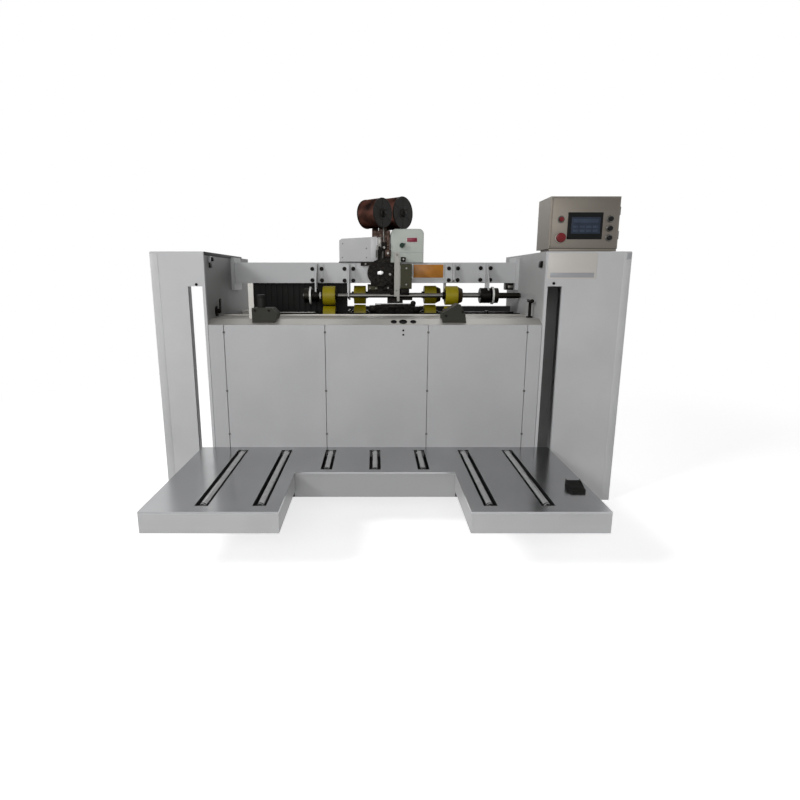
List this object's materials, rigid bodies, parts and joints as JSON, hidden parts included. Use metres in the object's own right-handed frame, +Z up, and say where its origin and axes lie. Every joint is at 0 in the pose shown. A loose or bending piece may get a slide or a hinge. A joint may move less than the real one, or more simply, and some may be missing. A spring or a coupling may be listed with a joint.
{
  "type": "semi-automatic carton box stitcher",
  "caption": "Wide sheet-metal portal with a stitching head and wire reels over yellow feed wheels, a slotted roller table with an operator cut-out, and a control box.",
  "frame": {"origin": "the middle of the floor area that the machine covers, on the floor", "axes": "+X is to the operator's right, +Y is from the operator to the rear, +Z is up"},
  "size_m": [2.848, 2, 1.98],
  "materials": {
    "panel_paint": "light grey powder coat on sheet steel",
    "wall_paint": "grey powder coat on plate",
    "cabinet_paint": "grey enamel",
    "base_paint": "dark grey enamel",
    "stainless": "brushed stainless steel",
    "table_stainless": "polished stainless sheet",
    "black_steel": "black oxide steel",
    "black_rubber": "black rubber",
    "guide_paint": "dark grey-green paint",
    "amber_plastic": "amber sheet",
    "polished_steel": "ground steel",
    "yellow_polyurethane": "cast yellow polyurethane",
    "cover_paint": "pale grey paint",
    "wire_coil": "copper-washed wire on a black spool",
    "screen_plastic": "black bezel and glass",
    "button_plastic": "black push buttons",
    "red_plastic": "red mushroom button",
    "chrome": "chromed steel tube"
  },
  "bodies": {
    "machine": {"left_front_plate": "panel_paint", "right_front_plate": "panel_paint", "inner_side_walls": "wall_paint", "outer_side_walls": "panel_paint", "column_top_covers": "panel_paint", "right_rear_panel": "panel_paint", "electrical_cabinet": "cabinet_paint", "base_plinth": "base_paint", "body_housing": "base_paint", "front_panels": "panel_paint", "rear_panels": "panel_paint", "front_deck": "stainless", "deck_rear_strip": "stainless", "rear_deck": "stainless", "cross_beam": "panel_paint", "shaft_hangers": "panel_paint", "bearing_housings": "black_steel", "shaft_pedestals": "black_steel", "ribbed_cover": "black_rubber", "lower_crossbar": "black_steel", "side_guides": "guide_paint", "guide_post": "stainless", "head_side_plate": "guide_paint", "amber_guard": "amber_plastic", "head_casing": "panel_paint", "head_cover": "cover_paint", "head_body": "black_steel", "front_bar": "cover_paint", "clincher": "black_steel", "reel_stand": "black_steel", "table_top": "table_stainless", "table_skirt": "panel_paint", "table_frame": "base_paint", "table_legs": "polished_steel", "roller_brackets": "polished_steel", "control_box": "stainless", "touch_screen": "screen_plastic", "push_buttons": "button_plastic", "foot_switch": "black_rubber"},
    "upper_front_roll": {"upper_front_shaft": "polished_steel", "upper_front_wheels": "yellow_polyurethane"},
    "lower_front_roll": {"lower_front_shaft": "polished_steel", "lower_front_wheels": "yellow_polyurethane"},
    "upper_rear_roll": {"upper_rear_shaft": "polished_steel", "upper_rear_wheels": "yellow_polyurethane"},
    "lower_rear_roll": {"lower_rear_shaft": "polished_steel", "lower_rear_wheels": "yellow_polyurethane"},
    "drive_flywheel": {"flywheel": "black_steel"},
    "left_reel": {"wire_reel_left": "wire_coil"},
    "right_reel": {"wire_reel_right": "wire_coil"},
    "emergency_stop": {"stop_button": "red_plastic"},
    "roller_1": {"table_roller_1": "chrome"},
    "roller_2": {"table_roller_2": "chrome"},
    "roller_3": {"table_roller_3": "chrome"},
    "roller_4": {"table_roller_4": "chrome"},
    "roller_5": {"table_roller_5": "chrome"},
    "roller_6": {"table_roller_6": "chrome"},
    "roller_7": {"table_roller_7": "chrome"}
  },
  "joints": [
    {"name": "upper_front_spin", "type": "hinge", "parent": "machine", "child": "upper_front_roll", "pos_m": [-0.093, 0.368, 1.295], "axis": [1, 0, 0], "continuous": true},
    {"name": "lower_front_spin", "type": "hinge", "parent": "machine", "child": "lower_front_roll", "pos_m": [-0.093, 0.368, 1.159], "axis": [1, 0, 0], "continuous": true},
    {"name": "upper_rear_spin", "type": "hinge", "parent": "machine", "child": "upper_rear_roll", "pos_m": [-0.093, 0.528, 1.295], "axis": [1, 0, 0], "continuous": true},
    {"name": "lower_rear_spin", "type": "hinge", "parent": "machine", "child": "lower_rear_roll", "pos_m": [-0.093, 0.528, 1.159], "axis": [1, 0, 0], "continuous": true},
    {"name": "flywheel_spin", "type": "hinge", "parent": "machine", "child": "drive_flywheel", "pos_m": [-0.055, 0.392, 1.45], "axis": [0, 1, 0], "continuous": true},
    {"name": "left_reel_spin", "type": "hinge", "parent": "machine", "child": "left_reel", "pos_m": [-0.039, 0.378, 1.85], "axis": [0.7547, -0.6561, 0], "continuous": true},
    {"name": "right_reel_spin", "type": "hinge", "parent": "machine", "child": "right_reel", "pos_m": [0.107, 0.54, 1.868], "axis": [0.7547, -0.6561, 0], "continuous": true},
    {"name": "stop_press", "type": "slide", "parent": "machine", "child": "emergency_stop", "axis": [0, 1, 0], "range_m": [0, 0.005]},
    {"name": "roller_1_spin", "type": "hinge", "parent": "machine", "child": "roller_1", "pos_m": [-0.915, -0.5565, 0.345], "axis": [0, 1, 0], "continuous": true},
    {"name": "roller_2_spin", "type": "hinge", "parent": "machine", "child": "roller_2", "pos_m": [-0.641, -0.5565, 0.345], "axis": [0, 1, 0], "continuous": true},
    {"name": "roller_3_spin", "type": "hinge", "parent": "machine", "child": "roller_3", "pos_m": [-0.367, -0.3325, 0.345], "axis": [0, 1, 0], "continuous": true},
    {"name": "roller_4_spin", "type": "hinge", "parent": "machine", "child": "roller_4", "pos_m": [-0.093, -0.3325, 0.345], "axis": [0, 1, 0], "continuous": true},
    {"name": "roller_5_spin", "type": "hinge", "parent": "machine", "child": "roller_5", "pos_m": [0.181, -0.3325, 0.345], "axis": [0, 1, 0], "continuous": true},
    {"name": "roller_6_spin", "type": "hinge", "parent": "machine", "child": "roller_6", "pos_m": [0.455, -0.5565, 0.345], "axis": [0, 1, 0], "continuous": true},
    {"name": "roller_7_spin", "type": "hinge", "parent": "machine", "child": "roller_7", "pos_m": [0.729, -0.5565, 0.345], "axis": [0, 1, 0], "continuous": true}
  ],
  "couplings": [
    {"joint": "lower_front_spin", "follows": "upper_front_spin", "ratio": -1},
    {"joint": "lower_rear_spin", "follows": "upper_rear_spin", "ratio": -1}
  ]
}
